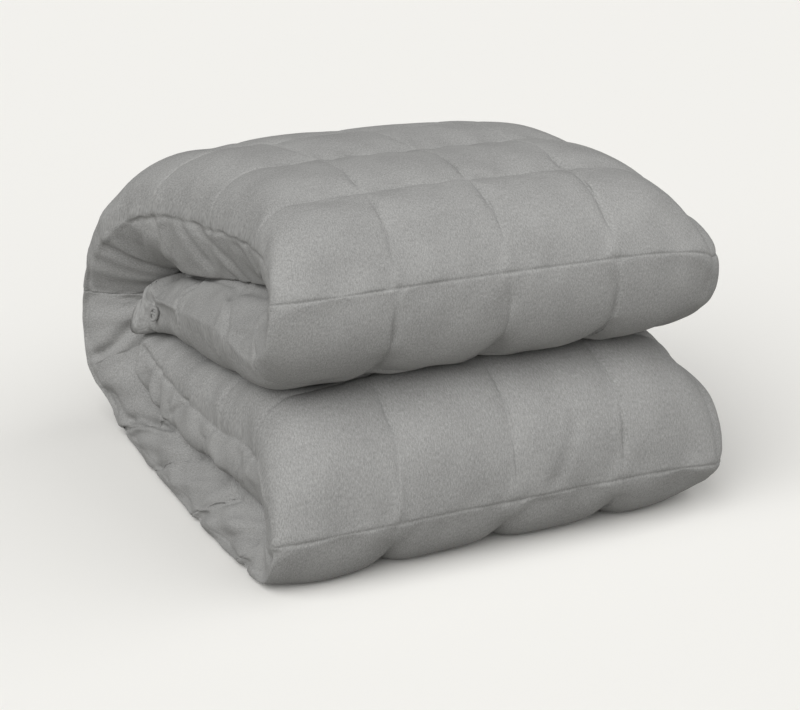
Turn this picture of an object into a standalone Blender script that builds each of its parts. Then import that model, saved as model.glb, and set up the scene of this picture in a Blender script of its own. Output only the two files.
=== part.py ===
"""Weighted blanket: a quilted cover folded to a strip four squares wide, then folded to a bundle.

The strip runs from its upper inner hem forward under the top, round the upper front fold, back over
the top, down the back, forward along the floor, round the lower front fold and back inside to its
lower inner hem.  One closed solid is lofted along that run.  Metres, +Z up, origin on the floor at
the centre of the bundle; +X runs along the front, away from the folded left end, and +Y to the back.
"""
import math

import bpy
import numpy as np

MM = 0.001
COLUMNS = 4                # quilted squares across the folded strip
NOSE = 22 * MM             # how far the right end is rounded past its edge
CROWN = 6 * MM             # how far a filled square stands above its stitched lines
DRAWN_IN = 6 * MM          # how far the stitched lines pull the right end in
HEM_ROUND = 14 * MM        # how far a hem is rounded past its last stitched line
HEM_NARROWING = 0.04       # part of the width that a hem loses as it rounds off
LEFT_SPREAD = 0.42         # part of the width by which the outer face is as at its middle
RIGHT_TURN = 0.24          # the same to the right end
HEEL_TURN = 0.12           # the same for the inner face, at the left
KEEL = 5 * MM              # how far the two front folds stand out along the line they bend at
KEEL_LINES = (4, 15)       # those lines
TIGHT = 0.3                # how much of the crown the lines along the strip take, where it lies flat
FULLNESS = 0.6             # below 1 makes the squares fuller and the stitched lines sharper
SLIT = 2 * MM              # gap that is left between the two inner layers where they press together
SLIT_Y = (-30, 60, 160, 260)             # places from the front to the back of the slit, in mm
SLIT_Z = (161, 163.5, 163.5, 163.5)      # the height of its middle at those places, in mm
SLIT_LEFT_Z = (157, 141, 123.5, 120)     # its height there at the left end, in mm
PRESSED = 3.5              # the outer face is pressed over this many lines from each hem
ROW_STEPS = 3              # stations in each square along the strip
COLUMN_STEPS = 3           # points in each square across the strip
KNEE_ANGLES = (90, 62, 38, 18)   # where the turn to the left edge is divided, in degrees
FACE_STEPS = 4             # points across the left fold
NOSE_STEPS = 5             # points round the right end
HEM_STEPS = 3              # stations round each hem
LOOP_WIDTH = 11 * MM       # corner loop, across
LOOP_DROP = 16 * MM        # corner loop, from the hem to its lowest point
LOOP_CORD = 2.6 * MM       # thickness of the corner loop's cord
LOOP_LINE = 0.2            # where on the strip the corner loop hangs, as a line of FOLD_ROWS
LOOP_GAP = 0.1 * MM        # clearance between the corner loop and the fold's lower edge
LOOP_OUT = 3.0 * MM        # how far the corner loop hangs outside that edge
LOOP_FACING = math.radians(-55)   # which way the corner loop's flat side is turned
LOOP_STEPS = 20
CLOTH_GREY = (0.33, 0.33, 0.325, 1.0)

# One row for each place along the strip that shapes the folds, in millimetres before centring.
# line: the stitched line it is at, counted from the upper inner hem; halves are between two lines.
# out, in: the strip's outer and inner face at its middle, as (y, z).
# right: the outer face where it starts to turn round the right end, as (x, y, z).
FOLD_ROWS = [
    # name                 line  out          in           right
    ("upper_inner_hem",    0,    (252, 172),  (250, 230),  (384, 252, 186)),
    ("upper_inner_back",   1,    (160, 169),  (160, 235),  (386, 160, 183)),
    ("upper_inner_front",  2,    (62, 168),   (62, 236),   (388, 62, 179)),
    ("upper_front_under",  3,    (-36, 166),  (18, 235),   (390, -32, 174)),
    ("upper_front_low",    3.5,  (-68, 200),  (4, 237),    (392, -62, 196)),
    ("upper_front",        4,    (-74, 250),  (2, 239),    (390, -68, 236)),
    ("upper_front_high",   4.5,  (-44, 290),  (6, 242),    (384, -38, 260)),
    ("top_front",          5,    (0, 308),    (18, 243),   (378, 4, 272)),
    ("top_middle",         6,    (100, 312),  (100, 243),  (376, 100, 274)),
    ("top_back",           7,    (200, 308),  (190, 243),  (374, 198, 270)),
    ("back_top",           8,    (293, 272),  (252, 238),  (374, 270, 246)),
    ("back_upper",         9,    (345, 188),  (284, 180),  (380, 318, 184)),
    ("back_lower",         10,   (350, 88),   (282, 110),  (386, 326, 96)),
    ("bottom_back",        11,   (292, 4),    (250, 80),   (392, 284, 16)),
    ("bottom_rear",        12,   (192, 2),    (180, 79),   (396, 192, 10)),
    ("bottom_middle",      13,   (92, 2),     (92, 78),    (400, 92, 10)),
    ("bottom_front",       14,   (0, 2),      (16, 77),    (402, 0, 10)),
    ("lower_front_foot",   14.5, (-50, 9),    (4, 78),     (404, -42, 14)),
    ("lower_front",        15,   (-84, 57),   (0, 80),     (406, -76, 44)),
    ("lower_front_rise",   15.5, (-70, 121),  (4, 82),     (404, -50, 98)),
    ("lower_front_over",   16,   (-12, 160),  (22, 84),    (396, 4, 122)),
    ("lower_inner_front",  17,   (68, 160),   (68, 85),    (390, 68, 120)),
    ("lower_inner_back",   18,   (166, 161),  (166, 85),   (386, 166, 120)),
    ("lower_inner_hem",    19,   (254, 158),  (252, 90),   (384, 252, 124)),
]

# The left fold at the same lines.
# edge, heel: its two long edges, as (x, y, z).
# knee: the outer face where its turn from that edge is done, as (x, y, z).
# swell: how far it swells between its two edges.
LEFT_FOLD_ROWS = [
    # line  edge              knee              heel              swell
    (0,     (-14, 262, 153),  (16, 258, 123),   (24, 252, 174),   4),
    (1,     (-12, 162, 172),  (16, 160, 128),   (18, 162, 197),   7),
    (2,     (-10, 62, 187),   (20, 62, 143),    (24, 62, 214),    8),
    (3,     (-8, -30, 190),   (26, -34, 168),   (28, 8, 225),     7),
    (3.5,   (-8, -60, 210),   (34, -68, 203),   (26, -14, 233),   5),
    (4,     (-4, -66, 246),   (40, -74, 248),   (22, -26, 241),   5),
    (4.5,   (2, -46, 268),    (42, -46, 288),   (26, -4, 238),    8),
    (5,     (6, -8, 272),     (46, -2, 303),    (26, 18, 232),    4),
    (6,     (2, 100, 264),    (52, 100, 308),   (22, 100, 213),   3),
    (7,     (-20, 208, 252),  (48, 202, 301),   (6, 188, 196),    3),
    (8,     (-50, 290, 212),  (30, 292, 268),   (26, 262, 180),   6),
    (9,     (-57, 350, 142),  (30, 345, 186),   (12, 286, 152),   5),
    (10,    (-58, 346, 64),   (36, 350, 86),    (-4, 286, 104),   5),
    (11,    (-38, 308, 8),    (50, 294, 4),     (-12, 264, 56),   6),
    (12,    (-33, 200, 4),    (60, 193, 2),     (-14, 190, 50),   8),
    (13,    (-27, 98, 4),     (60, 93, 2),      (-4, 92, 48),     8),
    (14,    (-18, 0, 4),      (60, 0, 2),       (2, 10, 46),      8),
    (14.5,  (-13, -54, 9),    (48, -57, 6),     (8, -14, 42),     6),
    (15,    (-12, -76, 50),   (34, -84, 56),    (10, -20, 46),    4),
    (15.5,  (-8, -50, 90),    (34, -66, 116),   (8, -14, 50),     5),
    (16,    (-2, -10, 102),   (34, -12, 147),   (2, 16, 54),      8),
    (17,    (-8, 72, 95),     (26, 68, 139),    (-2, 68, 56),     9),
    (18,    (-14, 172, 94),   (12, 166, 119),   (-8, 166, 50),    9),
    (19,    (-19, 266, 111),  (-2, 262, 117),   (-10, 256, 58),   9),
]


def smooth_at(lines, values, at):
    """Value at a station of the smooth curve through one column of the table."""
    last = len(lines) - 1
    start = min(max(int(np.searchsorted(lines, at, side="right")) - 1, 0), last - 1)
    steps = np.diff(lines)
    slopes = np.diff(values, axis=0) / steps[:, None]

    def tangent(k):
        if k in (0, last):
            return slopes[min(k, last - 1)]
        before, after = steps[k - 1], steps[k]
        return (slopes[k - 1] * after + slopes[k] * before) / (before + after)

    t = (at - lines[start]) / steps[start]
    rise = steps[start]
    return ((2 * t ** 3 - 3 * t ** 2 + 1) * values[start] + (t ** 3 - 2 * t ** 2 + t) * rise * tangent(start)
            + (3 * t ** 2 - 2 * t ** 3) * values[start + 1] + (t ** 3 - t ** 2) * rise * tangent(start + 1))


def quarter_round(part, width):
    """0 at an edge, rising on a quarter circle to 1 at the given width from it."""
    near = min(part / width, 1.0)
    return math.sqrt(max(0.0, 1.0 - (1.0 - near) ** 2))


def eased(part):
    """0 to 1 with a soft start and a soft end."""
    near = min(max(part, 0.0), 1.0)
    return near * near * (3.0 - 2.0 * near)


def crown(station, column):
    """How far the quilting stands out at a place: least on a stitched line, most in a square's middle."""
    from_keel = min(abs(station - line) for line in KEEL_LINES)
    along = abs(math.sin(math.pi * station)) ** FULLNESS * (1.0 - math.exp(-(from_keel / 0.3) ** 2))
    bends = math.exp(-((station - 3.1) / 0.35) ** 2) + math.exp(-((station - 14.3) / 0.4) ** 2)
    tight = TIGHT + (1.0 - TIGHT) * bends
    ends = eased(column / 0.5) * eased((COLUMNS - column) / 0.5)
    full = CROWN * along * ends * (1.0 - tight * (1.0 - abs(math.sin(math.pi * column)) ** FULLNESS))
    return full + KEEL * math.exp(-from_keel / 0.22) * quarter_round(min(column, COLUMNS - column), 0.3)


def pressed(station, face, spread):
    """Height of an outer face's point, kept to its own side of the slit between the inner layers."""
    at_left = np.interp(face[0] / MM, SLIT_Y, SLIT_LEFT_Z)
    at_middle = np.interp(face[0] / MM, SLIT_Y, SLIT_Z)
    slit = (at_left + (at_middle - at_left) * spread) * MM
    if station <= PRESSED:
        return max(face[1], slit + SLIT / 2)
    if station >= FOLD_ROWS[-1][1] - PRESSED:
        return min(face[1], slit - SLIT / 2)
    return face[1]


def outer_places(knee_part):
    """Where the outer face is divided, right to left in squares: closer where it turns to the left."""
    even = [step / COLUMN_STEPS for step in range(COLUMNS * COLUMN_STEPS, COLUMN_STEPS, -1)]
    turn = [COLUMNS * knee_part * (1.0 - math.cos(math.radians(angle))) for angle in KNEE_ANGLES]
    return even + [(even[-1] + turn[0]) / 2] + turn


def section(station, lines, columns):
    """The closed ring of points across the strip at a station, as (x, y, z) rows."""
    out, inner, right, edge, knee, heel, swell = (smooth_at(lines, column, station) for column in columns)
    up = (out - inner) / np.linalg.norm(out - inner)
    across = COLUMNS * COLUMN_STEPS
    knee_part = (knee[0] - edge[0]) / (right[0] - edge[0])
    ring = []
    for column in outer_places(knee_part):                  # outer face, right to left
        part = column / COLUMNS
        left_side = quarter_round(part, knee_part)
        spread = eased(part / LEFT_SPREAD)
        right_side = quarter_round(1.0 - part, RIGHT_TURN)
        face = edge[1:] + (knee[1:] - edge[1:]) * left_side + (out - knee[1:]) * spread
        face = face + (right[1:] - out) * (1.0 - right_side) + up * crown(station, column)
        face[1] += (pressed(station, face, spread) - face[1]) * left_side
        ring.append((edge[0] + (right[0] - edge[0]) * part, *face))
    middles = columns[3] + columns[5]
    outward = np.cross(smooth_at(lines, middles, station + 0.1) - smooth_at(lines, middles, station - 0.1),
                       heel - edge)
    outward *= swell / np.linalg.norm(outward)
    for step in range(FACE_STEPS + 1):                      # left fold, outer edge to heel
        part = step / FACE_STEPS
        ring.append(tuple(edge + (heel - edge) * part + outward * math.sin(math.pi * part)))
    for step in range(1, across + 1):                       # inner face, left to right
        part = step / across
        face = heel[1:] + (inner - heel[1:]) * quarter_round(part, HEEL_TURN)
        ring.append((heel[0] + (right[0] - heel[0]) * part, *face))
    reach = NOSE - DRAWN_IN * (1.0 - math.sqrt(abs(math.sin(math.pi * station))))
    for step in range(1, NOSE_STEPS):                       # round the right end
        turn = math.pi * step / NOSE_STEPS
        face = (inner + right[1:]) / 2 + (inner - right[1:]) / 2 * math.cos(turn)
        ring.append((right[0] + reach * math.sin(turn), *face))
    return np.array(ring)


def rounded_off(ring, turn):
    """The ring a hem has rounded to after turning that far, in radians, past its stitched line."""
    centre = ring.mean(axis=0)
    amount = np.array([1.0 - HEM_NARROWING * (1.0 - math.cos(turn)), math.cos(turn), math.cos(turn)])
    return centre + (ring - centre) * amount + np.array([0.0, HEM_ROUND * math.sin(turn), 0.0])


def strip_rings():
    """Rings from the upper inner hem to the lower inner hem, flat where they lie on the floor."""
    lines, columns = fold_columns()
    stations = range(int(lines[-1]) * ROW_STEPS + 1)
    rings = [section(step / ROW_STEPS, lines, columns) for step in stations]
    first, final = rings[0], rings[-1]
    for step in range(1, HEM_STEPS + 1):
        turn = math.pi / 2 * step / (HEM_STEPS + 0.5)
        rings.insert(0, rounded_off(first, turn))
        rings.append(rounded_off(final, turn))
    for ring in rings:
        ring[:, 2] = np.maximum(ring[:, 2], 0.0)
    return rings


def fold_columns():
    """The tables' lines, and their out, in, right, edge, knee, heel and swell columns in metres."""
    lines = np.array([row[1] for row in FOLD_ROWS], dtype=float)
    columns = list(zip(*FOLD_ROWS))[2:] + list(zip(*LEFT_FOLD_ROWS))[1:]
    return lines, [np.array(column).reshape(len(lines), -1) * MM for column in columns]


def cloth(name):
    """Short-napped grey cotton."""
    material = bpy.data.materials.new(name)
    material.use_nodes = True
    shader = material.node_tree.nodes["Principled BSDF"]
    shader.inputs["Base Color"].default_value = CLOTH_GREY
    shader.inputs["Roughness"].default_value = 0.92
    shader.inputs["Metallic"].default_value = 0.0
    return material


def make_blanket(rings, middle):
    """Loft the rings to one closed mesh."""
    points = np.concatenate(rings) - middle
    count = len(rings[0])
    faces = []
    for start in range(0, (len(rings) - 1) * count, count):
        for side in range(count):
            here, beside = start + side, start + (side + 1) % count
            faces.append((here, here + count, beside + count, beside))
    last = (len(rings) - 1) * count
    faces.append(tuple(range(count)))
    faces.append(tuple(range(last + count - 1, last - 1, -1)))
    mesh = bpy.data.meshes.new("quilted_blanket")
    mesh.from_pydata(points.tolist(), [], faces)
    mesh.materials.append(cloth("brushed_cotton"))
    mesh.shade_smooth()
    blanket = bpy.data.objects.new("quilted_blanket", mesh)
    bpy.context.scene.collection.objects.link(blanket)


def make_corner_loop(middle):
    """Hang the cord loop under the corner of the upper inner hem."""
    lines, columns = fold_columns()
    edge = smooth_at(lines, columns[3], LOOP_LINE) - middle
    curve = bpy.data.curves.new("corner_loop", "CURVE")
    curve.dimensions = "3D"
    curve.bevel_depth = LOOP_CORD / 2
    curve.bevel_resolution = 2
    spline = curve.splines.new("POLY")
    spline.points.add(LOOP_STEPS - 1)
    spline.use_cyclic_u = True
    half_width, half_drop = (LOOP_WIDTH - LOOP_CORD) / 2, (LOOP_DROP - LOOP_CORD) / 2
    for step, point in enumerate(spline.points):
        turn = 2 * math.pi * step / LOOP_STEPS
        point.co = (half_width * math.cos(turn), 0.0, half_drop * math.sin(turn), 1.0)
    curve.materials.append(cloth("loop_cord"))
    loop = bpy.data.objects.new("corner_loop", curve)
    loop.location = (edge[0] - LOOP_OUT, edge[1], edge[2] - LOOP_GAP - LOOP_DROP / 2)
    loop.rotation_euler = (0.0, 0.0, LOOP_FACING)
    bpy.context.scene.collection.objects.link(loop)


for old in list(bpy.data.objects):
    bpy.data.objects.remove(old, do_unlink=True)
strip = strip_rings()
corners = np.concatenate(strip)
centre = (corners.min(axis=0) + corners.max(axis=0)) / 2 * np.array([1.0, 1.0, 0.0])
make_blanket(strip, centre)
make_corner_loop(centre)
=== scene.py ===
"""Looks of a folded weighted blanket: the quilted cotton cover, its stitching and its corner loop."""
import math

import bpy
import numpy as np
from mathutils import Matrix, Vector


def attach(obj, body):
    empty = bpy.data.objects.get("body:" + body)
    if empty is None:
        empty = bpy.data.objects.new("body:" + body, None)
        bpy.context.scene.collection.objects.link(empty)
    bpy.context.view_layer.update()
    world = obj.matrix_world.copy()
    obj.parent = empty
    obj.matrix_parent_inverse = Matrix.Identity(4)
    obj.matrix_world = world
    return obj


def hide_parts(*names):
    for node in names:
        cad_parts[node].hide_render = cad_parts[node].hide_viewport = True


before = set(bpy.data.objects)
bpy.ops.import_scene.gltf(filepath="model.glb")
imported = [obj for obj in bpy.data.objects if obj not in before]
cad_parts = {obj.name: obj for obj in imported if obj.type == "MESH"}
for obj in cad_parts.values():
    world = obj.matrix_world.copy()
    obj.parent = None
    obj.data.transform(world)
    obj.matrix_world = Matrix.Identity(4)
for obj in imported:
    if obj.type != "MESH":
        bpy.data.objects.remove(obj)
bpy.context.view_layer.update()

# ---------------------------------------------------------------------------------------------
# The quilted blanket.  Brushed cotton over a heavy filling, sewn in squares of about 100 mm, folded
# lengthwise to a strip four squares wide and then to a bundle.  The strip runs from its upper inner
# hem round the upper front, over the top, down the back and along the floor to its lower inner hem.
# ---------------------------------------------------------------------------------------------
MM = 0.001
SQUARE_SIDE = 0.1              # one quilted square along the cloth, in metres; other sizes are in millimetres
MIDDLE = (183.17, 135.61)      # the bundle's centre in the fold tables' own x and y
COLUMNS = 4                    # quilted squares across the strip
NOSE = 22                      # how far the right end is rounded past its edge
CROWN = 6                      # how far a filled square stands above its stitched lines
DRAWN_IN = 6                   # how far the stitched lines pull the right end in
HEM_ROUND = 14                 # how far a hem is rounded past its last stitched line
HEM_LENGTH = 0.1               # how many squares that rounding counts as along the strip
HEM_NARROWING = 0.04           # part of the width that a hem loses as it rounds off
LEFT_SPREAD = 0.42             # part of the width by which the outer face is as at its middle
LEFT_TURN = 0.22               # part of the width in which its points lie closer at the left edge
RIGHT_TURN = 0.24              # part of the width in which it turns down to the right end
HEEL_TURN = 0.12               # part of the width in which the inner face turns to the heel
CROWN_ENDS = 0.5               # over how many squares the crown rises from each long edge
KEEL = 5                       # how far the two front folds stand out along the line they bend at
KEEL_LINES = (4, 15)           # those lines
KEEL_FADE = 0.22               # over how many lines they fall off from there
KEEL_ENDS = 0.3                # over how many squares they round off at their ends
KEEL_CLEAR = 0.3               # within how many lines of them the crown fades out
TIGHT = 0.3                    # how much of the crown the lines along the strip take, where it lies flat
TIGHT_PLACES = ((3.1, 0.35), (14.3, 0.4))   # where along the strip they take all of it, and how far round
TOP_FLATTER = 0.4              # how much flatter the squares on top are
TOP_MIDDLE, TOP_REACH = 6.0, 1.5      # the middle and the reach of the top, in lines
FULLNESS = 0.6                 # below 1 makes the squares fuller and the lines sharper
SLIT = 2                       # gap between the two inner layers where they press together
SLIT_Y = (-30, 60, 160, 260)   # places from the front to the back of the slit
SLIT_Z = (161, 163.5, 163.5, 163.5)   # the height of its middle at those places
SLIT_LEFT_Z = (157, 141, 123.5, 120)      # its height there at the left end
PRESSED = 3.5                  # the outer face is pressed over this many lines from each hem

# One row for each place along the strip that shapes the folds, in millimetres.
# line: the stitched line it is at, counted from the upper inner hem; halves are between two lines.
# out, in: the strip's outer and inner face at its middle, as (y, z).
# right: the outer face where it starts to turn round the right end, as (x, y, z).
FOLD_ROWS = [
    # name                 line  out          in           right
    ("upper_inner_hem",    0,    (252, 172),  (250, 230),  (384, 252, 186)),
    ("upper_inner_back",   1,    (160, 169),  (160, 235),  (386, 160, 183)),
    ("upper_inner_front",  2,    (62, 168),   (62, 236),   (388, 62, 179)),
    ("upper_front_under",  3,    (-36, 166),  (18, 235),   (390, -32, 174)),
    ("upper_front_low",    3.5,  (-68, 200),  (4, 237),    (392, -62, 196)),
    ("upper_front",        4,    (-74, 250),  (2, 239),    (390, -68, 236)),
    ("upper_front_high",   4.5,  (-44, 290),  (6, 242),    (384, -38, 260)),
    ("top_front",          5,    (0, 308),    (18, 243),   (378, 4, 272)),
    ("top_middle",         6,    (100, 312),  (100, 243),  (376, 100, 274)),
    ("top_back",           7,    (200, 308),  (190, 243),  (374, 198, 270)),
    ("back_top",           8,    (293, 272),  (252, 238),  (374, 270, 246)),
    ("back_upper",         9,    (345, 188),  (284, 180),  (380, 318, 184)),
    ("back_lower",         10,   (350, 88),   (282, 110),  (386, 326, 96)),
    ("bottom_back",        11,   (292, 4),    (250, 80),   (392, 284, 16)),
    ("bottom_rear",        12,   (192, 2),    (180, 79),   (396, 192, 10)),
    ("bottom_middle",      13,   (92, 2),     (92, 78),    (400, 92, 10)),
    ("bottom_front",       14,   (0, 2),      (16, 77),    (402, 0, 10)),
    ("lower_front_foot",   14.5, (-50, 9),    (4, 78),     (404, -42, 14)),
    ("lower_front",        15,   (-84, 57),   (0, 80),     (406, -76, 44)),
    ("lower_front_rise",   15.5, (-70, 121),  (4, 82),     (404, -50, 98)),
    ("lower_front_over",   16,   (-12, 160),  (22, 84),    (396, 4, 122)),
    ("lower_inner_front",  17,   (68, 160),   (68, 85),    (390, 68, 120)),
    ("lower_inner_back",   18,   (166, 161),  (166, 85),   (386, 166, 120)),
    ("lower_inner_hem",    19,   (254, 158),  (252, 90),   (384, 252, 124)),
]
# The same places at the left end, as (x, y, z).
# edge, heel: the two long edges of the fold.
# knee: the outer face where its turn from the left edge is done.
# swell: how far the fold swells between its two edges.
LEFT_FOLD_ROWS = [
    # line  edge              knee              heel              swell
    (0,     (-14, 262, 153),  (16, 258, 123),   (24, 252, 174),   4),
    (1,     (-12, 162, 172),  (16, 160, 128),   (18, 162, 197),   7),
    (2,     (-10, 62, 187),   (20, 62, 143),    (24, 62, 214),    8),
    (3,     (-8, -30, 190),   (26, -34, 168),   (28, 8, 225),     7),
    (3.5,   (-8, -60, 210),   (34, -68, 203),   (26, -14, 233),   5),
    (4,     (-4, -66, 246),   (40, -74, 248),   (22, -26, 241),   5),
    (4.5,   (2, -46, 268),    (42, -46, 288),   (26, -4, 238),    8),
    (5,     (6, -8, 272),     (46, -2, 303),    (26, 18, 232),    4),
    (6,     (2, 100, 264),    (52, 100, 308),   (22, 100, 213),   3),
    (7,     (-20, 208, 252),  (48, 202, 301),   (6, 188, 196),    3),
    (8,     (-50, 290, 212),  (30, 292, 268),   (26, 262, 180),   6),
    (9,     (-57, 350, 142),  (30, 345, 186),   (12, 286, 152),   5),
    (10,    (-58, 346, 64),   (36, 350, 86),    (-4, 286, 104),   5),
    (11,    (-38, 308, 8),    (50, 294, 4),     (-12, 264, 56),   6),
    (12,    (-33, 200, 4),    (60, 193, 2),     (-14, 190, 50),   8),
    (13,    (-27, 98, 4),     (60, 93, 2),      (-4, 92, 48),     8),
    (14,    (-18, 0, 4),      (60, 0, 2),       (2, 10, 46),      8),
    (14.5,  (-13, -54, 9),    (48, -57, 6),     (8, -14, 42),     6),
    (15,    (-12, -76, 50),   (34, -84, 56),    (10, -20, 46),    4),
    (15.5,  (-8, -50, 90),    (34, -66, 116),   (8, -14, 50),     5),
    (16,    (-2, -10, 102),   (34, -12, 147),   (2, 16, 54),      8),
    (17,    (-8, 72, 95),     (26, 68, 139),    (-2, 68, 56),     9),
    (18,    (-14, 172, 94),   (12, 166, 119),   (-8, 166, 50),    9),
    (19,    (-19, 266, 111),  (-2, 262, 117),   (-10, 256, 58),   9),
]
LINES = 19                     # stitched lines along the strip, hem to hem
LEAN_LINES = (10.2, 11.0, 14.4, 15.0)   # places along the bottom layer
LEAN = (0.0, 1.6, 1.6, 0.0)    # how far the left fold's lines lean to the front there, square for square
RUN_STEP = 0.1                 # lines to either side from which the way the fold runs is taken

# Where the cloth is divided.  Positions across the strip count in squares: the left fold's face
# runs from its heel at -0.5 to the outer edge at 0, the outer face to 4, the round right end to
# 4.5, and the inner face back to the heel at 8.5.
SQUARE = (0.0, 0.02, 0.06, 0.12, 0.2, 0.3, 0.4, 0.5, 0.6, 0.7, 0.8, 0.88, 0.94, 0.98)    # the inner face too
HIDDEN_SQUARE = (0.0, 0.02, 0.07, 0.15, 0.26, 0.38, 0.5, 0.62, 0.74, 0.85, 0.93, 0.98)
HIDDEN_SQUARES = (1, 2, 11, 12, 13, 17, 18)     # those that lie inside the bundle or under it
HEM_ROWS = 22                   # the square next to the upper inner hem has this many even rows
HEM_SQUARE = tuple(step / HEM_ROWS for step in range(HEM_ROWS))
LEFT_FACE = (1.0, 0.92, 0.83, 0.74, 0.65, 0.56, 0.47, 0.38, 0.3, 0.23, 0.17, 0.12, 0.08, 0.04)
FACE_WIDE, NOSE_WIDE = 0.5, 0.5
FIRST_END, LAST_START = (0.94, 0.98), (3.0, 3.02)    # between the turns at the ends and the plain squares
TURN_STEPS, NOSE_STEPS, HEM_STEPS = 10, 8, 4


def fold_columns():
    """The tables' lines, and their out, in, right, edge, knee, heel and swell columns."""
    lines = np.array([row[1] for row in FOLD_ROWS], dtype=float)
    columns = list(zip(*FOLD_ROWS))[2:] + list(zip(*LEFT_FOLD_ROWS))[1:]
    return lines, [np.array(column, dtype=float).reshape(len(lines), -1) for column in columns]


def smooth_at(lines, values, at):
    """Value at a station of the smooth curve through one column of the table."""
    last = len(lines) - 1
    start = min(max(int(np.searchsorted(lines, at, side="right")) - 1, 0), last - 1)
    steps = np.diff(lines)
    slopes = np.diff(values, axis=0) / steps[:, None]

    def tangent(k):
        if k in (0, last):
            return slopes[min(k, last - 1)]
        before, after = steps[k - 1], steps[k]
        return (slopes[k - 1] * after + slopes[k] * before) / (before + after)

    t = (at - lines[start]) / steps[start]
    rise = steps[start]
    return ((2 * t ** 3 - 3 * t ** 2 + 1) * values[start] + (t ** 3 - 2 * t ** 2 + t) * rise * tangent(start)
            + (3 * t ** 2 - 2 * t ** 3) * values[start + 1] + (t ** 3 - t ** 2) * rise * tangent(start + 1))


def quarter_round(part, width):
    """0 at an edge, rising on a quarter circle to 1 at the given width from it."""
    near = np.minimum(part / width, 1.0)
    return np.sqrt(np.maximum(0.0, 1.0 - (1.0 - near) ** 2))


def eased(part):
    """0 to 1 with a soft start and a soft end."""
    near = np.clip(part, 0.0, 1.0)
    return near * near * (3.0 - 2.0 * near)


def across_places():
    """Where the cloth is divided across the strip, from the heel round to the heel."""
    turns = np.radians(np.linspace(0.0, 90.0, TURN_STEPS + 1))
    left_turn = COLUMNS * LEFT_TURN * (1.0 - np.cos(turns))
    right_turn = COLUMNS * (1.0 - RIGHT_TURN * (1.0 - np.cos(turns)))
    places = [-FACE_WIDE * t for t in LEFT_FACE]
    places += [*left_turn, *FIRST_END]
    places += [1.0 + t for t in SQUARE] + [2.0 + t for t in SQUARE]
    places += [*LAST_START, *right_turn[::-1]]
    places += [COLUMNS + NOSE_WIDE * step / NOSE_STEPS for step in range(1, NOSE_STEPS)]
    places += [COLUMNS + NOSE_WIDE + COLUMNS * t for t in SQUARE]
    return np.array(places)


def stations():
    """Where the cloth is divided along the strip."""
    places = []
    for square in range(LINES):
        division = HEM_SQUARE if square == 0 else HIDDEN_SQUARE if square in HIDDEN_SQUARES else SQUARE
        places += [square + t for t in division]
    return places + [float(LINES)]


def crown(station, across):
    """How far the quilting stands out at a place: least on a stitched line, most in a square's middle."""
    from_keel = min(abs(station - line) for line in KEEL_LINES)
    along = abs(math.sin(math.pi * station)) ** FULLNESS * (1.0 - math.exp(-(from_keel / KEEL_CLEAR) ** 2))
    tightest = sum(math.exp(-((station - line) / reach) ** 2) for line, reach in TIGHT_PLACES)
    tight = TIGHT + (1.0 - TIGHT) * tightest
    ends = eased(across / CROWN_ENDS) * eased((COLUMNS - across) / CROWN_ENDS)
    flatter = 1.0 - TOP_FLATTER * math.exp(-((station - TOP_MIDDLE) / TOP_REACH) ** 4)
    between_lines = 1.0 - tight * (1.0 - np.abs(np.sin(math.pi * across)) ** FULLNESS)
    keel_ends = quarter_round(np.minimum(across, COLUMNS - across), KEEL_ENDS)
    keel = KEEL * math.exp(-from_keel / KEEL_FADE) * keel_ends
    return CROWN * flatter * along * ends * between_lines + keel


def pressed(station, y, z, spread):
    """Heights of the outer face, kept to its own side of the slit between the inner layers."""
    at_left, at_middle = np.interp(y, SLIT_Y, SLIT_LEFT_Z), np.interp(y, SLIT_Y, SLIT_Z)
    slit = at_left + (at_middle - at_left) * spread
    if station <= PRESSED:
        return np.maximum(z, slit + SLIT / 2)
    if station >= LINES - PRESSED:
        return np.minimum(z, slit - SLIT / 2)
    return z


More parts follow.
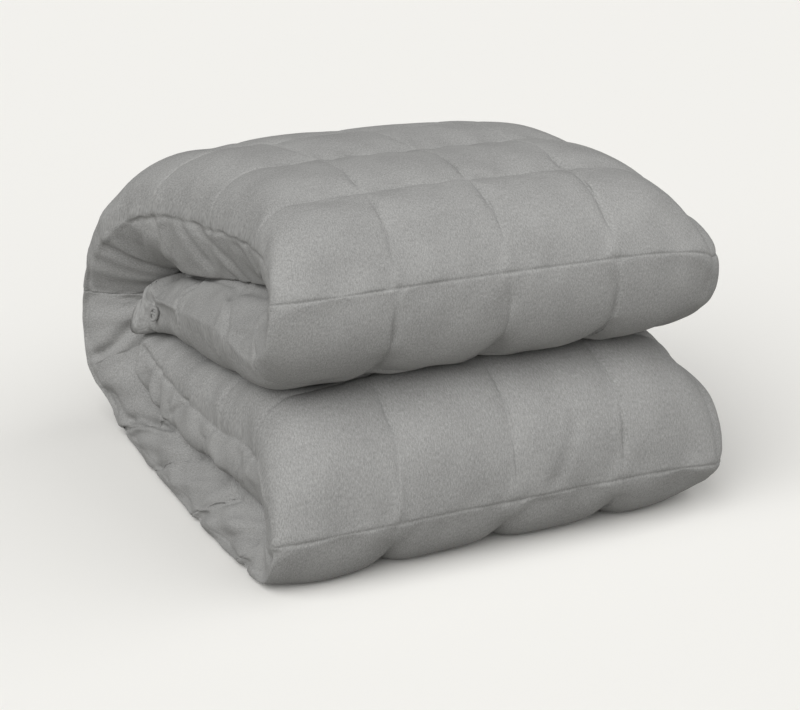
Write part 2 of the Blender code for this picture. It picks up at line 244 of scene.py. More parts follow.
def ring_at(station, across, lines, columns):
    """The closed ring of points across the strip at a station, in the table's millimetres."""
    edges, heels, swells = columns[3], columns[5], columns[6]
    out, inner, right, edge, knee = (smooth_at(lines, column, station) for column in columns[:5])
    up = (out - inner) / np.linalg.norm(out - inner)
    ring = np.zeros((len(across), 3))
    outer = (across >= 0) & (across <= COLUMNS)
    part = across[outer] / COLUMNS
    left_side = quarter_round(part, (knee[0] - edge[0]) / (right[0] - edge[0]))[:, None]
    spread = eased(part / LEFT_SPREAD)[:, None]
    right_side = quarter_round(1.0 - part, RIGHT_TURN)[:, None]
    face = edge[1:] + (knee[1:] - edge[1:]) * left_side + (out - knee[1:]) * spread
    face = face + (right[1:] - out) * (1.0 - right_side)
    face = face + up * crown(station, across[outer])[:, None]
    kept = pressed(station, face[:, 0], face[:, 1], spread[:, 0])
    face[:, 1] += (kept - face[:, 1]) * left_side[:, 0]
    ring[outer] = np.column_stack((edge[0] + (right[0] - edge[0]) * part, face))
    middles = (edges + heels) / 2
    lean = np.interp(station, LEAN_LINES, LEAN)
    for index in np.flatnonzero(across < 0):
        part, at = -across[index] / FACE_WIDE, station - lean * across[index]
        low, high, full = (smooth_at(lines, column, at) for column in (edges, heels, swells))
        ahead = smooth_at(lines, middles, at + RUN_STEP) - smooth_at(lines, middles, at - RUN_STEP)
        outward = np.cross(ahead, high - low)
        outward *= full * math.sin(math.pi * part) / np.linalg.norm(outward)
        ring[index] = low + (high - low) * part + outward
    heel = smooth_at(lines, heels, station + lean * FACE_WIDE)
    nose = (across > COLUMNS) & (across < COLUMNS + NOSE_WIDE)
    turn = (math.pi * (across[nose] - COLUMNS) / NOSE_WIDE)[:, None]
    reach = NOSE - DRAWN_IN * (1.0 - math.sqrt(abs(math.sin(math.pi * station))))
    face = (inner + right[1:]) / 2 + (right[1:] - inner) / 2 * np.cos(turn)
    ring[nose] = np.column_stack((right[0] + reach * np.sin(turn[:, 0]), face))
    inside = across >= COLUMNS + NOSE_WIDE
    part = (1.0 - (across[inside] - COLUMNS - NOSE_WIDE) / COLUMNS)[:, None]
    face = heel[1:] + (inner - heel[1:]) * quarter_round(part, HEEL_TURN)
    ring[inside] = np.column_stack((heel[0] + (right[0] - heel[0]) * part[:, 0], face))
    return ring


def rounded_off(ring, turn):
    """The ring a hem has rounded to after turning that far, in radians, past its stitched line."""
    centre = ring.mean(axis=0)
    amount = np.array([1.0 - HEM_NARROWING * (1.0 - math.cos(turn)), math.cos(turn), math.cos(turn)])
    return centre + (ring - centre) * amount + np.array([0.0, HEM_ROUND * math.sin(turn), 0.0])


def loft_blanket():
    """The blanket as one closed mesh, each point marked with its place on the strip."""
    across, along = across_places(), stations()
    lines, columns = fold_columns()
    rings = [ring_at(station, across, lines, columns) for station in along]
    first, final = rings[0], rings[-1]
    for step in range(1, HEM_STEPS + 1):
        turn = math.pi / 2 * step / (HEM_STEPS + 0.5)
        rings.insert(0, rounded_off(first, turn))
        rings.append(rounded_off(final, turn))
        along.insert(0, -HEM_LENGTH * math.sin(turn))
        along.append(LINES + HEM_LENGTH * math.sin(turn))
    points = np.concatenate(rings) - np.array([*MIDDLE, 0.0])
    points[:, 2] = np.maximum(points[:, 2], 0.0)
    count, rows = len(across), len(rings)
    faces = []
    for row in range(rows - 1):
        for side in range(count):
            here, beside = row * count + side, row * count + (side + 1) % count
            faces.append((here, beside, beside + count, here + count))
    faces.append(tuple(range(count - 1, -1, -1)))
    faces.append(tuple(range((rows - 1) * count, rows * count)))
    mesh = bpy.data.meshes.new("quilted_blanket_cover")
    mesh.from_pydata((points * MM).tolist(), [], faces)
    for name, values in (("line", np.repeat(along, count)), ("across", np.tile(across, rows))):
        mesh.attributes.new(name, "FLOAT", "POINT").data.foreach_set("value", values)
    cloth_uv = mesh.uv_layers.new(name="cloth")
    closing = np.append(across[1:], COLUMNS * 2 + NOSE_WIDE)
    corners = []
    for row in range(rows - 1):
        for side in range(count):
            low, high = across[side], closing[side]
            corners += [low, along[row], high, along[row], high, along[row + 1], low, along[row + 1]]
    ends = [value for a in across[::-1] for value in (a, along[0])]
    ends += [value for a in across for value in (a, along[-1])]
    cloth_uv.data.foreach_set("uv", np.array(corners + ends) * SQUARE_SIDE)
    mesh.shade_smooth()
    blanket = bpy.data.objects.new("quilted_blanket_cover", mesh)
    bpy.context.scene.collection.objects.link(blanket)
    return blanket


def read(mesh, name):
    """The values of one of the mesh's point attributes."""
    values = np.zeros(len(mesh.vertices))
    mesh.attributes[name].data.foreach_get("value", values)
    return values


def places_of(mesh):
    """The mesh's points, one row each."""
    points = np.zeros(len(mesh.vertices) * 3)
    mesh.vertices.foreach_get("co", points)
    return points.reshape(-1, 3)


def move_to(mesh, points):
    """Put the mesh's points at these places, one row each."""
    mesh.vertices.foreach_set("co", points.ravel())
    mesh.update()


def normals_of(mesh):
    """The mesh's point normals, one row each."""
    normals = np.zeros(len(mesh.vertices) * 3)
    mesh.vertices.foreach_get("normal", normals)
    return normals.reshape(-1, 3)


def apply_all(piece):
    """Apply the piece's modifiers, first to last."""
    bpy.ops.object.select_all(action="DESELECT")
    bpy.context.view_layer.objects.active = piece
    piece.select_set(True)
    for modifier in list(piece.modifiers):
        bpy.ops.object.modifier_apply(modifier=modifier.name)


# The cloth's own values, for its simulation.
SWELL_FRAMES, CLOTH_STEPS = 20, 5
CLOTH_MASS, CLOTH_STRETCH, CLOTH_SHEAR, CLOTH_BENDING = 0.3, 12.0, 6.0, 0.08
CLOTH_FILLING = 4.0                              # pressure from inside
CLOTH_SLACK = 0.03                               # how much wider the cloth is cut than its fold
SWELL_CAP, PRESSED_CAP = 4.0 * MM, 1.0 * MM      # in the open, and between two layers that press
UPPER_PRESSED, LOWER_PRESSED = 3.0, 16.5         # the layers press before and past these lines
PRESSED_ACROSS = 0.1                             # and only past this, counted across
HIDDEN_ACROSS = 4.6                              # past this the cloth lies inside the bundle
ON_LINE = 0.01                                   # a point this near to a line or an edge is sewn down
TINY = 1e-9                                      # keeps a point that stays put from a division by zero


def let_swell(piece, sewn, caps):
    """Blow the cover up a little between its sewn places; no point moves further than its cap."""
    before = places_of(piece.data)
    pins = piece.vertex_groups.new(name="sewn")
    for index in np.flatnonzero(sewn):
        pins.add([int(index)], 1.0, "REPLACE")
    cloth = piece.modifiers.new("filling", "CLOTH")
    cloth.settings.quality = CLOTH_STEPS
    cloth.settings.mass = CLOTH_MASS
    cloth.settings.tension_stiffness = cloth.settings.compression_stiffness = CLOTH_STRETCH
    cloth.settings.shear_stiffness = CLOTH_SHEAR
    cloth.settings.bending_stiffness = CLOTH_BENDING
    cloth.settings.vertex_group_mass = "sewn"
    cloth.settings.shrink_min = -CLOTH_SLACK
    cloth.settings.use_pressure = True
    cloth.settings.uniform_pressure_force = CLOTH_FILLING
    cloth.settings.effector_weights.gravity = 0.0
    cloth.collision_settings.use_collision = False
    cloth.point_cache.frame_start, cloth.point_cache.frame_end = 1, SWELL_FRAMES
    for frame_number in range(1, SWELL_FRAMES + 1):
        bpy.context.scene.frame_set(frame_number)
    apply_all(piece)
    bpy.context.scene.frame_set(1)
    moved = places_of(piece.data) - before
    length = np.maximum(np.linalg.norm(moved, axis=1), TINY)
    kept = before + moved * (caps * np.tanh(length / caps) / length)[:, None]
    move_to(piece.data, kept)
    piece.vertex_groups.clear()


blanket = loft_blanket()
line, across = read(blanket.data, "line"), read(blanket.data, "across")
on_line = np.abs(line - np.round(line)) < ON_LINE
on_edge = (np.abs(across) < ON_LINE) | (np.abs(across - COLUMNS) < ON_LINE)
hidden = (across > HIDDEN_ACROSS) | (line < 0.0) | (line > LINES)
inside = ((line < UPPER_PRESSED) | (line > LOWER_PRESSED)) & (across > PRESSED_ACROSS)
let_swell(blanket, on_line | on_edge | hidden, np.where(inside, PRESSED_CAP, SWELL_CAP))
points = places_of(blanket.data)
points[:, 2] = np.maximum(points[:, 2], 0.0)
move_to(blanket.data, points)
subdivide = blanket.modifiers.new("subdivide", "SUBSURF")
subdivide.levels = subdivide.render_levels = 1
subdivide.uv_smooth = "NONE"
apply_all(blanket)

# Places where the thick cloth is pushed out of its plain fold: the middle and the reach of each, as
# (line, across), and how far it is pushed, in millimetres.
NUDGES = [
    # name              middle          reach          push
    ("corner_tab",      (-0.05, 0.1),   (0.26, 0.1),   (-7, 2, -10)),
    ("corner_flap",     (-0.06, 0.065), (0.08, 0.04),  (-17, 4, -7)),
    ("back_low_edge",   (10.55, -0.05), (0.25, 0.25),  (3, -2, 2)),
    ("lower_lump_a",    (18.95, -0.3),  (0.1, 0.25),   (-9, 0, 2)),
    ("lower_lump_b",    (18.62, -0.33), (0.1, 0.2),    (-6, 0, 0)),
    ("lower_lump_c",    (18.3, -0.3),   (0.14, 0.25),  (-5, 0, -2)),
    ("lower_lump_d",    (17.65, -0.35), (0.26, 0.25),  (-3, 0, 0)),
    ("lower_lump_e",    (16.85, -0.35), (0.26, 0.3),   (-4, 0, -1)),
]
line, across = read(blanket.data, "line"), read(blanket.data, "across")
points = places_of(blanket.data)
for name, middle, reach, push in NUDGES:
    away = ((line - middle[0]) / reach[0]) ** 2 + ((across - middle[1]) / reach[1]) ** 2
    points += np.exp(-away)[:, None] * np.array(push) * MM
move_to(blanket.data, points)

# Folds and puckers that the cloth has taken on.
# depth: how deep it is sunk, or how high it stands where this is below 0, in millimetres.
# width: how wide it is, in millimetres.
# path: its run over the strip, as (line, across).
CREASES = [
    # name                depth  width  path
    ("corner_pinch",       3.5,   5.0,   [(7.48, 0.0), (7.62, -0.03)]),
    ("corner_ridge",       -2.0,  2.5,   [(7.42, 0.0), (7.51, -0.08), (7.6, -0.15)]),
    ("top_pleat_a",        3.2,   5.0,   [(7.01, -0.06), (7.07, -0.2), (7.58, -0.4)]),
    ("top_pleat_b",        3.0,   6.0,   [(6.56, -0.04), (6.46, -0.14), (6.33, -0.33)]),
    ("top_pleat_c",        2.2,   5.0,   [(6.4, 0.0), (5.96, -0.18), (5.61, -0.47)]),
    ("top_pleat_d",        1.6,   5.0,   [(5.85, 0.0), (5.51, -0.11), (5.17, -0.28)]),
    ("top_pleat_e",        1.4,   4.0,   [(5.3, -0.02), (5.1, -0.2)]),
    ("top_pleat_f",        1.8,   4.0,   [(7.22, 0.0), (7.35, -0.13), (7.75, -0.27)]),
    ("top_ridge",          1.6,   2.2,   [(4.7, -0.03), (5.5, -0.03), (6.5, -0.03), (7.4, -0.03)]),
    ("top_ridge_a",        -2.4,  3.0,   [(7.1, 0.0), (7.17, -0.07), (7.39, -0.19), (7.73, -0.3)]),
    ("top_trough_a",       1.8,   6.0,   [(5.1, 2.0), (4.85, 2.01), (4.6, 2.0)]),
    ("top_trough_b",       1.8,   6.0,   [(5.2, 3.0), (4.8, 3.01), (4.3, 3.0)]),
    ("top_trough_c",       1.4,   7.0,   [(5.25, 1.0), (4.7, 1.0)]),
    ("hem_cuff",           3.6,   3.2,   [(0.98, -0.48), (1.03, -0.36), (0.95, -0.21), (0.87, -0.1),
                                          (0.9, -0.03)]),
    ("hem_cuff_ridge",     -1.8,  4.5,   [(1.1, -0.48), (1.14, -0.34), (1.05, -0.19), (0.98, -0.08)]),
    ("hem_flap_fold",      6.0,   3.0,   [(0.02, 0.0), (0.02, 0.03), (0.03, 0.06), (0.05, 0.1)]),
    ("hem_hole",           13.0,  4.5,   [(0.0, -0.035), (0.06, -0.03), (0.14, -0.01)]),
    ("hem_rim",            -2.2,  2.6,   [(-0.05, -0.08), (0.25, -0.04), (0.5, -0.025), (0.93, -0.005)]),
    ("hem_tab_fold",       3.0,   3.0,   [(0.02, 0.12), (0.12, 0.16), (0.3, 0.2)]),
    ("hem_under_rim",      4.5,   3.0,   [(0.2, 0.0), (0.47, 0.0), (0.76, 0.01), (0.9, 0.01)]),
    ("upper_end_b",        3.0,   3.8,   [(1.79, -0.46), (2.05, -0.26), (2.19, -0.13), (2.25, -0.05)]),
    ("upper_end_c",        3.4,   4.5,   [(2.44, -0.09), (3.28, -0.29), (3.8, -0.16)]),
    ("upper_end_d",        3.0,   3.5,   [(3.11, -0.09), (3.08, -0.02), (2.93, 0.08)]),
    ("upper_end_f",        1.4,   3.5,   [(1.75, 0.0), (1.7, 0.12)]),
    ("wrap_edge_line",     2.4,   1.7,   [(7.5, 0.0), (8.33, 0.0), (8.63, -0.02), (9.02, -0.04),
                                          (9.41, -0.03), (9.74, -0.01), (10.2, -0.03), (10.5, -0.03),
                                          (10.76, -0.06)]),
    ("wrap_lump_a",        -3.0,  13.0,  [(8.52, -0.12), (8.52, -0.34)]),
    ("wrap_lump_b",        -3.0,  12.0,  [(9.4, -0.14), (9.42, -0.26)]),
    ("wrap_seam",          0.8,   1.5,   [(10.03, -0.02), (10.02, -0.12), (9.96, -0.23), (9.87, -0.29),
                                          (9.7, -0.38)]),
    ("wrap_spot",          5.0,   5.0,   [(9.1, -0.3), (9.16, -0.35), (9.25, -0.33)]),
    ("wrap_trough",        8.0,   7.0,   [(9.88, -0.1), (9.84, -0.22), (9.74, -0.28), (9.6, -0.36)]),
    ("wrap_valley",        6.0,   9.0,   [(8.1, -0.08), (8.12, -0.24), (8.15, -0.37), (8.2, -0.5)]),
    ("foot_corner",        2.6,   4.0,   [(14.95, 0.02), (14.7, -0.1), (14.5, -0.3)]),
    ("foot_dimple_a",      4.0,   6.0,   [(11.05, 0.05), (11.0, -0.08)]),
    ("foot_dimple_c",      4.0,   6.0,   [(13.15, 0.05), (13.1, -0.1)]),
    ("foot_dimple_d",      4.0,   6.0,   [(14.15, 0.05), (14.1, -0.08)]),
    ("foot_fold_b",        6.0,   10.0,  [(11.96, -0.1), (11.93, -0.3), (11.9, -0.48)]),
    ("foot_fold_c",        6.0,   10.0,  [(13.08, -0.16), (12.98, -0.34), (12.92, -0.48)]),
    ("foot_fold_d",        5.0,   8.0,   [(13.66, -0.16), (13.7, -0.3), (13.96, -0.38)]),
    ("foot_lump_a",        -4.0,  12.0,  [(10.3, -0.15), (10.42, -0.3)]),
    ("foot_lump_b",        -4.5,  12.0,  [(11.38, -0.18), (11.6, -0.3)]),
    ("foot_lump_c",        -4.0,  13.0,  [(12.38, -0.15), (12.5, -0.3)]),
    ("foot_lump_d",        -4.0,  12.0,  [(13.35, -0.12), (13.42, -0.28)]),
    ("foot_notch_a",       4.6,   13.0,  [(14.1, 1.0), (14.75, 1.0)]),
    ("foot_notch_b",       4.6,   13.0,  [(14.1, 2.0), (14.75, 2.0)]),
    ("foot_notch_c",       4.6,   13.0,  [(14.1, 3.0), (14.75, 3.0)]),
    ("foot_pinch",         9.0,   7.5,   [(10.86, -0.2), (10.84, -0.28), (10.98, -0.38), (11.2, -0.46)]),
    ("foot_ridge",         -3.0,  4.0,   [(10.9, -0.2), (10.65, -0.33)]),
    ("foot_seam_a",        1.6,   1.6,   [(11.0, 0.0), (10.93, -0.16), (10.91, -0.24), (10.99, -0.34),
                                          (11.35, -0.48)]),
    ("foot_seam_b",        1.5,   1.6,   [(12.0, 0.0), (12.0, -0.18), (11.97, -0.3), (11.94, -0.48)]),
    ("foot_seam_c",        1.8,   1.6,   [(13.0, 0.0), (12.95, -0.25), (12.88, -0.31), (12.8, -0.37),
                                          (12.72, -0.48)]),
    ("foot_seam_d",        1.5,   1.6,   [(13.7, -0.1), (13.72, -0.16), (13.78, -0.26), (13.81, -0.33),
                                          (14.09, -0.36)]),
    ("foot_shelf",         -3.0,  4.5,   [(11.1, -0.1), (11.06, -0.2), (11.12, -0.32), (11.45, -0.47)]),
    ("foot_side_valley",   3.0,   5.0,   [(10.84, -0.17), (10.6, -0.1), (10.41, -0.07)]),
    ("floor_edge_line",    0.9,   1.3,   [(11.0, -0.08), (12.0, -0.09), (13.0, -0.08), (14.6, -0.07)]),
    ("lower_end_a",        2.6,   4.0,   [(16.25, -0.04), (16.2, -0.3), (16.25, -0.5)]),
    ("lower_end_b",        3.6,   4.5,   [(17.05, -0.03), (17.3, -0.27), (17.4, -0.5)]),
    ("lower_end_c",        4.2,   3.6,   [(17.75, -0.02), (17.9, -0.12), (18.08, -0.27)]),
    ("lower_end_d",        3.6,   4.0,   [(18.15, -0.2), (18.2, -0.3), (18.3, -0.49)]),
    ("lower_end_e",        5.0,   4.0,   [(18.45, -0.04), (18.5, -0.35), (18.55, -0.5)]),
    ("lower_end_f",        6.0,   4.2,   [(18.66, -0.05), (18.76, -0.25), (18.82, -0.45)]),
    ("lower_end_g",        3.0,   3.0,   [(18.93, -0.02), (18.98, -0.2), (18.98, -0.4)]),
    ("lower_end_line",     2.6,   2.8,   [(15.9, -0.03), (16.5, -0.02), (17.5, -0.02), (18.5, -0.03),
                                          (19.0, -0.04)]),
    ("lower_top_a",        1.8,   5.0,   [(16.9, 0.0), (16.98, 0.14), (17.0, 0.4)]),
    ("lower_top_b",        1.4,   5.0,   [(17.5, 0.0), (17.46, 0.2)]),
    ("lower_top_c",        1.6,   5.0,   [(18.3, 0.02), (18.24, 0.24)]),
    ("front_crease_a",     2.2,   5.0,   [(3.94, 1.0), (3.78, 1.0), (3.6, 1.01)]),
    ("front_crease_b",     2.2,   5.0,   [(3.94, 2.0), (3.86, 2.0), (3.76, 2.01)]),
    ("front_crease_c",     2.4,   6.0,   [(3.96, 3.0), (3.8, 3.0), (3.55, 3.01)]),
    ("front_dent_a",       1.6,   10.0,  [(3.94, 1.42), (3.72, 1.45), (3.5, 1.44)]),
    ("front_dent_b",       2.2,   11.0,  [(4.0, 2.42), (3.7, 2.55), (3.25, 2.7)]),
    ("front_dent_c",       1.6,   8.0,   [(4.16, 1.46), (4.26, 1.48)]),
    ("belly_notch_a",      4.0,   13.0,  [(2.9, 1.0), (3.35, 1.0)]),
    ("belly_notch_b",      4.0,   13.0,  [(2.9, 2.0), (3.35, 2.0)]),
    ("belly_notch_c",      4.0,   13.0,  [(2.9, 3.0), (3.35, 3.0)]),
    ("slope_crease_a",     3.4,   4.5,   [(15.44, 2.58), (15.3, 2.5), (15.2, 2.44), (15.08, 2.34)]),
    ("slope_crease_b",     2.6,   4.5,   [(15.3, 3.02), (15.12, 3.0)]),
    ("slope_trough_a",     1.3,   9.0,   [(16.0, 1.0), (15.8, 0.98), (15.6, 1.0)]),
    ("slope_trough_b",     1.6,   9.0,   [(15.95, 2.0), (15.7, 2.02), (15.4, 2.0)]),
    ("slope_trough_c",     1.3,   9.0,   [(15.9, 3.0), (15.6, 3.0)]),
]
RIM_SHARE, RIM_WIDE = 0.35, 2.2                # of a crease's depth and width: the raised rim beside it
CREASES_END = 5.0                              # no crease runs further across than this
GROOVE_DEEP, GROOVE_WIDE = 1.0 * MM, 1.0 * MM  # a line stitched across the strip
FACE_LINE, FACE_SHARE = 9, 0.15                # the left fold's face shows this one, and the others this much
TOP_LINES, TOP_SHARE = (4.5, 7.5), 0.5         # and between these places, on top, they show this much
FAINT_DEEP, FAINT_WIDE = 0.35 * MM, 1.2 * MM   # a line along the strip, where the cloth is tight
FAINT_FROM, FAINT_TO = 0.5, 4.2                # such lines show between these places across
BELLY, FOOT = (3.0, 4.4), 14.9                 # but not between the first two lines, nor past the last
LINES_END, LINES_FADE = 4.9, 0.3               # every line ends here, and fades over so much before it
FAR_OFF = 1.0                                  # in metres; far from any line or crease


def from_path(along, over, path):
    """Distance of each place on the strip from a path over it, in metres along the cloth."""
    nearest = np.full(len(along), FAR_OFF)
    for (first_line, first_across), (next_line, next_across) in zip(path, path[1:]):
        start = np.array([first_line, first_across]) * SQUARE_SIDE
        run = np.array([next_line, next_across]) * SQUARE_SIDE - start
        offset = np.column_stack((along * SQUARE_SIDE, over * SQUARE_SIDE)) - start
        t = np.clip(offset @ run / (run @ run), 0.0, 1.0)
        nearest = np.minimum(nearest, np.linalg.norm(offset - t[:, None] * run, axis=1))
    return nearest


points, normals = places_of(blanket.data), normals_of(blanket.data)
near_line = np.abs(line - np.round(line)) * SQUARE_SIDE
near_column = np.abs(across - np.round(across)) * SQUARE_SIDE
on_fronts = ((line > BELLY[0]) & (line < BELLY[1])) | (line > FOOT)
near_column[(across < FAINT_FROM) | (across > FAINT_TO) | on_fronts] = FAR_OFF
outside = np.clip((LINES_END - across) / LINES_FADE, 0.0, 1.0)
stitched = np.where((across > 0.0) | (np.round(line) == FACE_LINE), 1.0, FACE_SHARE)
stitched *= np.where((line > TOP_LINES[0]) & (line < TOP_LINES[1]), TOP_SHARE, 1.0)
sunk = np.maximum(GROOVE_DEEP * stitched * np.exp(-(near_line / GROOVE_WIDE) ** 2),
                  FAINT_DEEP * np.exp(-(near_column / FAINT_WIDE) ** 2)) * outside
for name, depth, width, path in CREASES:
    away = from_path(line, across, path) / (width * MM)
    shape = np.exp(-away ** 2) - RIM_SHARE * np.exp(-(away / RIM_WIDE) ** 2)
    sunk += depth * MM * shape * (across < CREASES_END)
points = points - normals * sunk[:, None]
points[:, 2] = np.maximum(points[:, 2], 0.0)
move_to(blanket.data, points)


def node(tree, kind, inputs=(), **settings):
    """A new node in a material or a node group, with its values and links set."""
    made = tree.nodes.new(kind)
    for name, value in settings.items():
        setattr(made, name, value)
    for socket, value in dict(inputs).items():
        if isinstance(value, bpy.types.NodeSocket):
            tree.links.new(value, made.inputs[socket])
        else:
            made.inputs[socket].default_value = value
    return made


# The nap's pattern, on a map in metres.
BEND_SCALE, BEND_REACH = 60.0, 0.0025            # how often and how far the streaks bend
GRAIN_SCALE, CLOUD_SCALE = 1100.0, 22.0          # how many to a metre, like the bends
FLECK_SCALE = 0.42                               # of the streaks' own scale
STREAK_SHARE, GRAIN_SHARE, FLECK_SHARE = 0.55, 0.2, 0.25
FINE_LOW, FINE_HIGH = 0.36, 0.64                 # where the fine pattern is darkest and lightest
CLOUD_SHARE = 0.5                                # how much the clouds add to that
NAP_RELIEF, NAP_GLOSS = 0.4, 0.2                 # how much of its height shows, and how little it shines


def brushed_nap():
    """Colour and height of a short nap: soft streaks along the cloth, fine grain and wide clouds."""
    group = bpy.data.node_groups.new("brushed_nap", "ShaderNodeTree")
    for name, kind in (("Place", "Vector"), ("Light Fibre", "Color"), ("Dark Fibre", "Color"),
                       ("Streak Width", "Float"), ("Streak Length", "Float"), ("Contrast", "Float")):
        group.interface.new_socket(name=name, in_out="INPUT", socket_type="NodeSocket" + kind)
    group.interface.new_socket(name="Color", in_out="OUTPUT", socket_type="NodeSocketColor")
    group.interface.new_socket(name="Height", in_out="OUTPUT", socket_type="NodeSocketFloat")
    given = group.nodes.new("NodeGroupInput").outputs

    def number(operation, *values):
        return node(group, "ShaderNodeMath", dict(enumerate(values)), operation=operation).outputs[0]

    def vector(operation, *values):
        return node(group, "ShaderNodeVectorMath", dict(enumerate(values)), operation=operation).outputs[0]

    def noise(place, scale, detail, roughness=0.5):
        values = {"Vector": place, "Scale": scale, "Detail": detail, "Roughness": roughness}
        return node(group, "ShaderNodeTexNoise", values).outputs

    per_width = number("DIVIDE", 1.0, given["Streak Width"])
    per_length = number("DIVIDE", 1.0, given["Streak Length"])
    stretch = node(group, "ShaderNodeCombineXYZ", {0: per_width, 1: per_length, 2: per_width}).outputs[0]
    wobble = noise(given["Place"], BEND_SCALE, 1.0)["Color"]
    bent = vector("MULTIPLY", wobble, (BEND_REACH, BEND_REACH, 0.0))
    place = vector("ADD", given["Place"], bent)
    along = vector("MULTIPLY", place, stretch)
    streaks = noise(along, 1.0, 2.0, 0.6)[0]
    grain = noise(place, GRAIN_SCALE, 1.0)[0]
    clouds = noise(place, CLOUD_SCALE, 3.0)[0]
    flecks = noise(along, FLECK_SCALE, 3.0, 0.7)[0]
    fine = number("MULTIPLY", streaks, STREAK_SHARE)
    fine = number("MULTIPLY_ADD", grain, GRAIN_SHARE, fine)
    fine = number("MULTIPLY_ADD", flecks, FLECK_SHARE, fine)
    spread = node(group, "ShaderNodeMapRange", {0: fine, 1: FINE_LOW, 2: FINE_HIGH}, clamp=True).outputs[0]
    strong = number("MULTIPLY_ADD", number("SUBTRACT", spread, 0.5), given["Contrast"], 0.5)
    mixing = number("MULTIPLY_ADD", number("SUBTRACT", clouds, 0.5), CLOUD_SHARE, strong)
    fibres = {0: mixing, 6: given["Dark Fibre"], 7: given["Light Fibre"]}
    colour = node(group, "ShaderNodeMix", fibres, data_type="RGBA").outputs[2]
    node(group, "NodeGroupOutput", {"Color": colour, "Height": spread})
    return group


def napped_cotton(name, map_name, fibres, nap_height, roughness):
    """Heathered cotton with a short nap, laid out on the piece's own map."""
    made = bpy.data.materials.new(name)
    made.use_nodes = True
    tree = made.node_tree
    place = node(tree, "ShaderNodeUVMap", uv_map=map_name).outputs["UV"]
    heather = node(tree, "ShaderNodeGroup", {"Place": place, **fibres}, node_tree=nap).outputs
    relief = {"Height": heather["Height"], "Strength": NAP_RELIEF, "Distance": nap_height}
    raised = node(tree, "ShaderNodeBump", relief)
    shader = tree.nodes["Principled BSDF"]
    shader.inputs["Roughness"].default_value = roughness
    shader.inputs["Specular IOR Level"].default_value = NAP_GLOSS
    tree.links.new(heather["Color"], shader.inputs["Base Color"])
    tree.links.new(raised.outputs["Normal"], shader.inputs["Normal"])
    return made


nap = brushed_nap()
BLANKET_FIBRES = {
    "Light Fibre": (0.40, 0.399, 0.390, 1.0),
    "Dark Fibre": (0.185, 0.184, 0.179, 1.0),
    "Streak Width": 0.0009,
    "Streak Length": 0.0022,
    "Contrast": 0.62,
}
cotton = napped_cotton("brushed_cotton", "cloth", BLANKET_FIBRES, nap_height=0.0003, roughness=0.94)
blanket.data.materials.append(cotton)
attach(blanket, "root")
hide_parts("quilted_blanket")

# ---------------------------------------------------------------------------------------------
# The corner loop.  A small loop of twisted cotton cord, sewn to the hem's corner and tacked across
# its middle, so that it shows two small holes.
# ---------------------------------------------------------------------------------------------
LOOP_MIDDLE = (-15.4, 238.0, 147.3)      # its place, with x, y and z as in the fold tables
LOOP_FACES = (-0.72, -0.69, 0.1)         # which way its flat side looks
LOOP_LEANS = math.radians(-18.0)         # and how far its top leans to the right
LOOP_WIDE, LOOP_TALL = 11.0, 16.0        # over the cord, in millimetres
LOOP_SWAY = 0.6                          # how far the rim leaves its plane
BAR_ABOVE, BAR_DIP = 0.3, 0.5            # the part across: how far over the middle, and how far it sags back
BAR_END = 0.92                           # the part of the width where it starts to turn into the rim
BAR_STEPS, RIM_STEPS = 8, 40
CORD_THICK, CORD_STRANDS = 3.5, 3
CORD_TWIST = 7.0                         # one turn of the strands in this many millimetres
CORD_RELIEF = 0.14                       # how far a strand stands out, as a part of the cord's radius
CORD_MEAN = 1.1                          # about the mean of that relief, where the cord has its thickness
CORD_AROUND = 18                         # points round the cord


def loop_path():
    """The cord's middle line: once across the loop, then all the way round it."""
    half_wide, half_tall = (LOOP_WIDE - CORD_THICK) / 2, (LOOP_TALL - CORD_THICK) / 2
    steps = np.linspace(0.0, BAR_END, BAR_STEPS)
    bar = [(-half_wide + 2 * half_wide * t, BAR_ABOVE, -BAR_DIP * math.sin(math.pi * t)) for t in steps]
    turns = np.linspace(0.0, 2.0 * math.pi, RIM_STEPS)
    rim = [(half_wide * math.cos(t), half_tall * math.sin(t), LOOP_SWAY * math.sin(t)) for t in turns]
    return np.array(bar + rim)


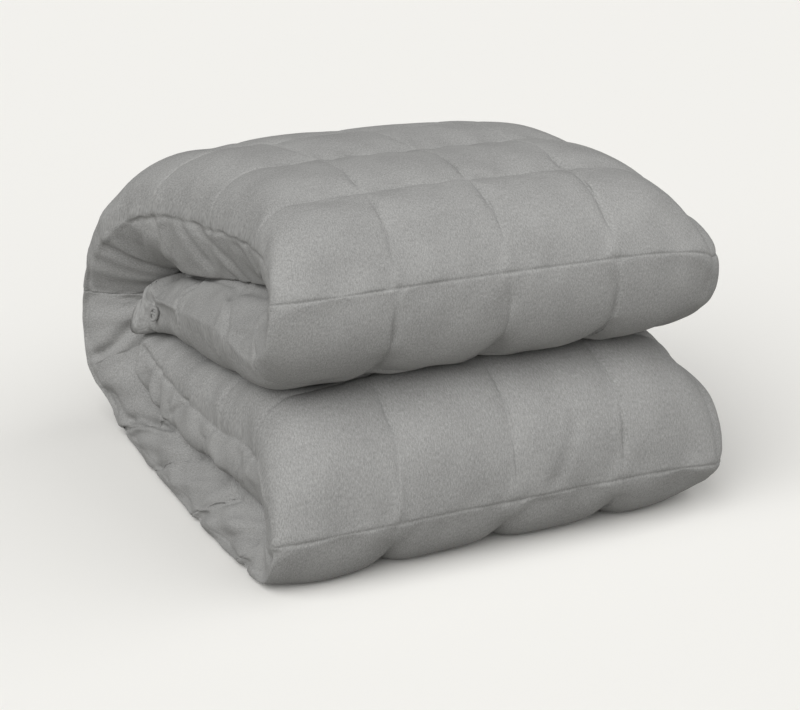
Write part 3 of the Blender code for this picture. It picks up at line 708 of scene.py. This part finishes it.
def twisted_cord(name, path):
    """A closed tube along the path, with its strands' turns raised, and its own map for the nap."""
    steps = np.linalg.norm(np.diff(path, axis=0), axis=1)
    run = np.concatenate(([0.0], np.cumsum(steps)))
    ahead = np.gradient(path, axis=0)
    ahead /= np.linalg.norm(ahead, axis=1)[:, None]
    side = np.cross(ahead, (0.0, 0.0, 1.0))
    side /= np.linalg.norm(side, axis=1)[:, None]
    over = np.cross(side, ahead)
    turns = 2.0 * math.pi * np.arange(CORD_AROUND) / CORD_AROUND
    twisted = turns[None, :] - 2.0 * math.pi * run[:, None] / CORD_TWIST
    raised = 1.0 + CORD_RELIEF * np.abs(np.sin(CORD_STRANDS / 2 * twisted))
    reach = CORD_THICK / 2 * raised / CORD_MEAN
    around = np.cos(turns)[None, :, None] * side[:, None, :] + np.sin(turns)[None, :, None] * over[:, None, :]
    rings = path[:, None, :] + reach[:, :, None] * around
    faces, corners = [], []
    for row in range(len(path) - 1):
        for step in range(CORD_AROUND):
            here, beside = row * CORD_AROUND + step, row * CORD_AROUND + (step + 1) % CORD_AROUND
            faces.append((here, here + CORD_AROUND, beside + CORD_AROUND, beside))
            low = turns[step] * CORD_THICK / 2
            high = (turns[step] + 2.0 * math.pi / CORD_AROUND) * CORD_THICK / 2
            corners += [low, run[row], low, run[row + 1], high, run[row + 1], high, run[row]]
    last = (len(path) - 1) * CORD_AROUND
    faces.append(tuple(range(CORD_AROUND)))
    faces.append(tuple(range(last + CORD_AROUND - 1, last - 1, -1)))
    corners += [0.0] * (CORD_AROUND * 4)
    mesh = bpy.data.meshes.new(name)
    mesh.from_pydata((rings.reshape(-1, 3) * MM).tolist(), [], faces)
    mesh.uv_layers.new(name="cord").data.foreach_set("uv", np.array(corners) * MM)
    mesh.shade_smooth()
    made = bpy.data.objects.new(name, mesh)
    bpy.context.scene.collection.objects.link(made)
    return made


corner_loop = twisted_cord("corner_loop_cord", loop_path())
smooth = corner_loop.modifiers.new("subdivide", "SUBSURF")
smooth.levels = smooth.render_levels = 1
apply_all(corner_loop)
facing = Vector(LOOP_FACES).to_track_quat("Z", "Y").to_matrix().to_4x4()
place = Vector(LOOP_MIDDLE) - Vector((*MIDDLE, 0.0))
leaning = Matrix.Rotation(LOOP_LEANS, 4, "Z")
corner_loop.data.transform(Matrix.Translation(place * MM) @ facing @ leaning)
CORD_FIBRES = {
    "Light Fibre": (0.37, 0.369, 0.36, 1.0),
    "Dark Fibre": (0.19, 0.189, 0.184, 1.0),
    "Streak Width": 0.0004,
    "Streak Length": 0.0016,
    "Contrast": 0.5,
}
cord_cotton = napped_cotton("loop_cord", "cord", CORD_FIBRES, nap_height=0.0002, roughness=0.92)
corner_loop.data.materials.append(cord_cotton)
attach(corner_loop, "root")
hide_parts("corner_loop")

# ---------------------------------------------------------------------------------------------
# The studio.  A wide pale floor, one broad soft light high on the left, weaker ones on the right and
# low in front, and a pale room.  The floor and the room look paler than the light they give, which
# keeps the undersides dark.
# ---------------------------------------------------------------------------------------------
FLOOR_SIZE, FLOOR_LOW = 40.0, 0.0005     # in metres; the floor lies this far under the blanket
FLOOR_SEEN, FLOOR_BOUNCED = (0.86, 0.85, 0.82, 1.0), (0.38, 0.375, 0.36, 1.0)
bpy.ops.mesh.primitive_plane_add(size=FLOOR_SIZE, location=(0.0, 0.0, -FLOOR_LOW))
floor = bpy.context.object
floor.name = "floor"
floor_paint = bpy.data.materials.new("floor_paint")
floor_paint.use_nodes = True
paint_tree = floor_paint.node_tree
bounced = node(paint_tree, "ShaderNodeLightPath").outputs["Is Diffuse Ray"]
tones = {0: bounced, 6: FLOOR_SEEN, 7: FLOOR_BOUNCED}
floor_colour = node(paint_tree, "ShaderNodeMix", tones, data_type="RGBA")
paint = paint_tree.nodes["Principled BSDF"]
paint.inputs["Roughness"].default_value = 1.0
paint.inputs["Specular IOR Level"].default_value = 0.0
paint_tree.links.new(floor_colour.outputs[2], paint.inputs["Base Color"])
floor.data.materials.append(floor_paint)

room = bpy.data.worlds.new("room")
room.use_nodes = True
ROOM_COLOUR = (1.0, 0.995, 0.98, 1.0)
ROOM_LIGHT, ROOM_SEEN = 0.16, 0.9        # how strongly the room lights, and how strongly it shows
room_tree = room.node_tree
seen = node(room_tree, "ShaderNodeLightPath").outputs["Is Camera Ray"]
room_glow = node(room_tree, "ShaderNodeMapRange", {"Value": seen, "To Min": ROOM_LIGHT, "To Max": ROOM_SEEN})
background = room_tree.nodes["Background"]
background.inputs["Color"].default_value = ROOM_COLOUR
room_tree.links.new(room_glow.outputs["Result"], background.inputs["Strength"])
bpy.context.scene.world = room

LIGHT_BROAD = math.radians(60.0)
# tilt: how far a light leans from straight down, in degrees.
# turn: how far it is turned round from the front, in degrees.
SOFT_LIGHTS = [
    # name           strength  tilt   turn
    ("key_light",    2.55,     46.0,  -58.0),
    ("fill_light",   1.0,      45.0,  60.0),
    ("front_light",  0.66,     66.0,  0.0),
]
for light_name, strength, tilt, turn in SOFT_LIGHTS:
    light_data = bpy.data.lights.new(light_name, "SUN")
    light_data.energy = strength
    light_data.angle = LIGHT_BROAD
    light = bpy.data.objects.new(light_name, light_data)
    light.rotation_euler = (math.radians(tilt), 0.0, math.radians(turn))
    bpy.context.scene.collection.objects.link(light)

CAMERA_PLACE = (-0.5312, -1.2156, 0.598)                # in metres
CAMERA_YAW, CAMERA_DOWN = math.radians(23.97), math.radians(20.16)
CAMERA_LENS, CAMERA_SENSOR = 67.67, 36.0                # in millimetres
camera_data = bpy.data.cameras.new("camera")
camera_data.sensor_width = CAMERA_SENSOR
camera_data.lens = CAMERA_LENS
camera = bpy.data.objects.new("camera", camera_data)
camera.location = CAMERA_PLACE
camera.rotation_euler = (math.pi / 2 - CAMERA_DOWN, 0.0, -CAMERA_YAW)
bpy.context.scene.collection.objects.link(camera)
bpy.context.scene.camera = camera
bpy.context.scene.view_settings.view_transform = "Standard"
